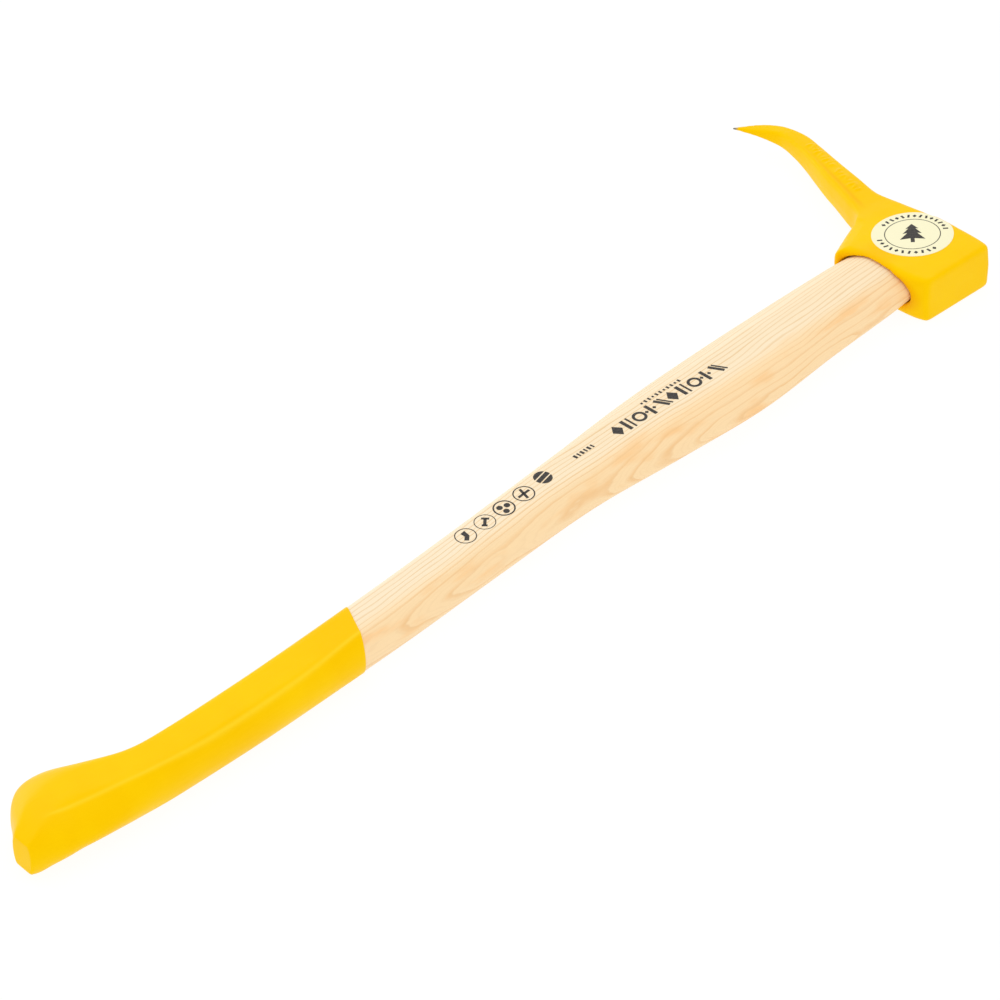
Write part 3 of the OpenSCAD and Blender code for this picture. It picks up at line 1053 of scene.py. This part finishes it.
def ash_wood(name):
    """Pale ash: growth rings that show as straight lines on top and as arches on the side."""
    p = Paint(name, IOR=1.45, Specular_IOR_Level=0.25)
    grain = p.kept("grain", "Vector")
    along, across, _ = p.node("SeparateXYZ", {0: grain}).outputs
    rings = growth_rings(p, grain)
    late = in_ring(p, rings, 0.64, 0.92, 0.93)
    fine = in_ring(p, p.times(rings, 4.0), 0.55, 0.85, 0.88)

    wide = p.step(p.noise(grain, (0.004, 0.05, 0.05), 2.0), 0.35, 0.65)
    base = p.mix(wide, (0.96, 0.82, 0.60, 1), (0.95, 0.79, 0.55, 1))
    # Darker, warmer wood towards the poll-side face and towards the head, with warmer streaks and
    # latewood on that face
    back = p.step(across, -4.0, -17.0)
    near_eye = p.times(p.step(along, 540.0, 680.0), 0.35)
    base = p.mix(p.math("MAXIMUM", back, near_eye), base, (0.98, 0.72, 0.41, 1))
    warm = p.times(p.step(p.noise(grain, (0.022, 0.09, 0.09), 3.0), 0.52, 0.72), back)
    base = p.mix(p.times(warm, 0.8), base, (0.97, 0.58, 0.25, 1))

    strong = p.step(p.noise(grain, (0.01, 0.15, 0.15), 2.0), 0.3, 0.7, 0.5, 0.9)
    late_colour = p.mix(back, (0.79, 0.52, 0.24, 1), (0.90, 0.56, 0.26, 1))
    colour = p.mix(p.times(late, strong), base, late_colour)
    colour = p.mix(p.times(fine, 0.22), colour, (0.86, 0.60, 0.33, 1))
    streak = p.noise(grain, (0.05, 2.2, 2.2), 3.0)
    colour = p.mix(p.step(streak, 0.5, 0.75, 0, 0.25), colour, (0.86, 0.62, 0.36, 1))
    pores = p.step(p.noise(grain, (0.22, 5.0, 5.0), 2.0), 0.62, 0.72)
    pore = p.times(pores, p.step(late, 0.2, 0.8, 0.15, 0.6))
    p.set("Base Color", p.mix(p.times(pore, 0.28), colour, (0.62, 0.42, 0.22, 1)))
    p.set("Roughness", p.step(streak, 0.3, 0.7, 0.5, 0.62))
    relief = p.math("SUBTRACT", p.times(late, 0.4), p.times(pore, 0.8))
    p.set("Normal", p.bump(relief, 0.00006, 0.5))
    return p.material


def paper(name):
    """Cream paper with fine fibres."""
    p = Paint(name, Specular_IOR_Level=0.2)
    fibre = p.noise(p.place(), 1800.0, 4.0)
    p.set("Base Color", p.mix(fibre, (0.91, 0.86, 0.56, 1), (0.95, 0.91, 0.63, 1)))
    p.set("Roughness", p.step(fibre, 0.3, 0.7, 0.38, 0.5))
    p.set("Normal", p.bump(fibre, 0.00002, 0.4))
    return p.material


def ink_black(name):
    """Printer's black, a little uneven."""
    p = Paint(name, Specular_IOR_Level=0.3)
    patch = p.noise(p.place(), 1200.0, 3.0)
    tone = p.step(patch, 0.35, 0.7)
    p.set("Base Color", p.mix(tone, (0.022, 0.02, 0.02, 1), (0.07, 0.06, 0.05, 1)))
    p.set("Roughness", p.step(patch, 0.3, 0.7, 0.45, 0.6))
    return p.material


def wedge_wood(name):
    """Darker, rough hardwood, streaked along the handle."""
    p = Paint(name, Specular_IOR_Level=0.2)
    streak = p.noise(p.place(), (120.0, 900.0, 2600.0), 4.0)
    tone = p.step(streak, 0.3, 0.7)
    p.set("Base Color", p.mix(tone, (0.46, 0.27, 0.13, 1), (0.63, 0.42, 0.23, 1)))
    p.set("Roughness", p.step(streak, 0.3, 0.7, 0.62, 0.78))
    p.set("Normal", p.bump(streak, 0.0001, 0.6))
    return p.material


def bare_steel(name):
    """Dull steel with fine marks."""
    p = Paint(name, Metallic=1.0)
    place = p.place()
    turned = p.noise(place, (3000.0, 200.0, 200.0), 3.0)
    dull = p.noise(place, 300.0, 4.0)
    p.set("Base Color", p.mix(dull, (0.36, 0.35, 0.34, 1), (0.58, 0.57, 0.55, 1)))
    p.set("Roughness", p.step(turned, 0.3, 0.7, 0.28, 0.45))
    p.set("Normal", p.bump(turned, 0.00004, 0.4))
    return p.material


def wear(obj, material):
    """Makes that material the object's only one."""
    obj.data.materials.clear()
    obj.data.materials.append(material)
    for face in obj.data.polygons:
        face.material_index = 0


wear(head, forged_paint("yellow_lacquer"))
wear(coat, dipped_paint("dipped_lacquer"))
wear(handle, ash_wood("ash"))
wear(label, paper("label_paper"))
for printed_piece in (label_ink, handle_ink):
    wear(printed_piece, ink_black("black_ink"))

wedge_materials = {
    "eye_wedge": wedge_wood("wedge_wood"),
    "ring_wedge": bare_steel("bare_steel"),
}
for node_name, material in wedge_materials.items():
    node_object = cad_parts[node_name]
    wear(node_object, material)
    edge = node_object.modifiers.new("edge", "BEVEL")
    edge.width = 0.00015
    edge.segments = 2
    edge.limit_method = "ANGLE"
    edge.angle_limit = math.radians(40)

for piece, node_name, slot in (
    (head, "head", "yellow_steel"),
    (coat, "grip_coat", "yellow_coat"),
    (handle, "handle", "ash"),
    (label, "head_label", "label_paper"),
):
    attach(piece, "root")
    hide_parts(node_name)
for piece in (label_ink, handle_ink):
    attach(piece, "root")

# ---------------------------------------------------------------- floor, light and camera
FLOOR_HALF = 4.0
FLOOR_DROP = 0.0002
floor_mesh = bpy.data.meshes.new("floor")
floor_corners = [(FLOOR_HALF * u, FLOOR_HALF * v, 0) for u, v in ((-1, -1), (1, -1), (1, 1), (-1, 1))]
floor_mesh.from_pydata(floor_corners, [], [(0, 1, 2, 3)])
floor = bpy.data.objects.new("floor", floor_mesh)
bpy.context.scene.collection.objects.link(floor)
floor.location.z = -FLOOR_DROP
floor_paint = Paint("pale_floor", Specular_IOR_Level=0.0, Roughness=1.0)
floor_paint.set("Base Color", (0.1, 0.1, 0.1, 1))
floor_paint.set("Emission Color", (1, 1, 1, 1))
floor_paint.set("Emission Strength", 0.92)
wear(floor, floor_paint.material)

world = bpy.data.worlds.new("studio")
bpy.context.scene.world = world
world.use_nodes = True
sky = world.node_tree.nodes["Background"].inputs
sky["Color"].default_value = (1, 1, 1, 1)
sky["Strength"].default_value = 0.98


def soft_light(name, at, target, size, power):
    """A round area light that faces its target."""
    lamp = bpy.data.lights.new(name, "AREA")
    lamp.shape = "DISK"
    lamp.size = size
    lamp.energy = power
    obj = bpy.data.objects.new(name, lamp)
    obj.location = at
    obj.rotation_mode = "QUATERNION"
    obj.rotation_quaternion = (Vector(target) - Vector(at)).to_track_quat("-Z", "Y")
    bpy.context.scene.collection.objects.link(obj)


# The camera's own axes in the row frame, from its height above the floor, the tool's turn in
# plan and the tool's small roll about its handle. It looks at a place given in the drawing frame
CAMERA_RISE = math.radians(38)
TOOL_TURN = math.radians(44.6)
TOOL_ROLL = math.radians(2)
CAMERA_AWAY = 3.402
CAMERA_AIM = (363, 5, 0)
SENSOR = 36.0
FOCAL_SHARE = 6.545
tool_x = np.array([math.cos(TOOL_TURN), math.sin(TOOL_TURN), 0])
level_y = np.array([-math.sin(TOOL_TURN), math.cos(TOOL_TURN), 0])
level_z = np.array([0, 0, 1.0])
tool_y = math.cos(TOOL_ROLL) * level_y - math.sin(TOOL_ROLL) * level_z
tool_z = math.cos(TOOL_ROLL) * level_z + math.sin(TOOL_ROLL) * level_y
camera_axes = np.array([
    [1, 0, 0],
    [0, math.sin(CAMERA_RISE), math.cos(CAMERA_RISE)],
    [0, -math.cos(CAMERA_RISE), math.sin(CAMERA_RISE)],
])
turned = camera_axes @ np.column_stack([tool_x, tool_y, tool_z])
camera_data = bpy.data.cameras.new("camera")
camera_data.sensor_width = SENSOR
camera_data.lens = SENSOR * FOCAL_SHARE
camera_data.clip_start = 0.1
camera_data.clip_end = 50
camera = bpy.data.objects.new("camera", camera_data)
stand = Vector(to_row(CAMERA_AIM) + turned[2] * CAMERA_AWAY)
camera.matrix_world = Matrix.Translation(stand) @ Matrix(turned.T.tolist()).to_4x4()
bpy.context.scene.collection.objects.link(camera)
bpy.context.scene.camera = camera

# Soft light from above, and a second one low behind the tool and to the camera's left
behind = -turned[2] * np.array([1, 1, 0])
left = -turned[0]
soft_light("key", (0, 0, 2.2), (0, 0, 0), 1.6, 2)
soft_light("rim", tuple(1.5 * behind + 1.2 * left + np.array([0, 0, 0.6])), (0, 0, 0), 1.0, 5)
bpy.context.scene.view_settings.view_transform = "Standard"
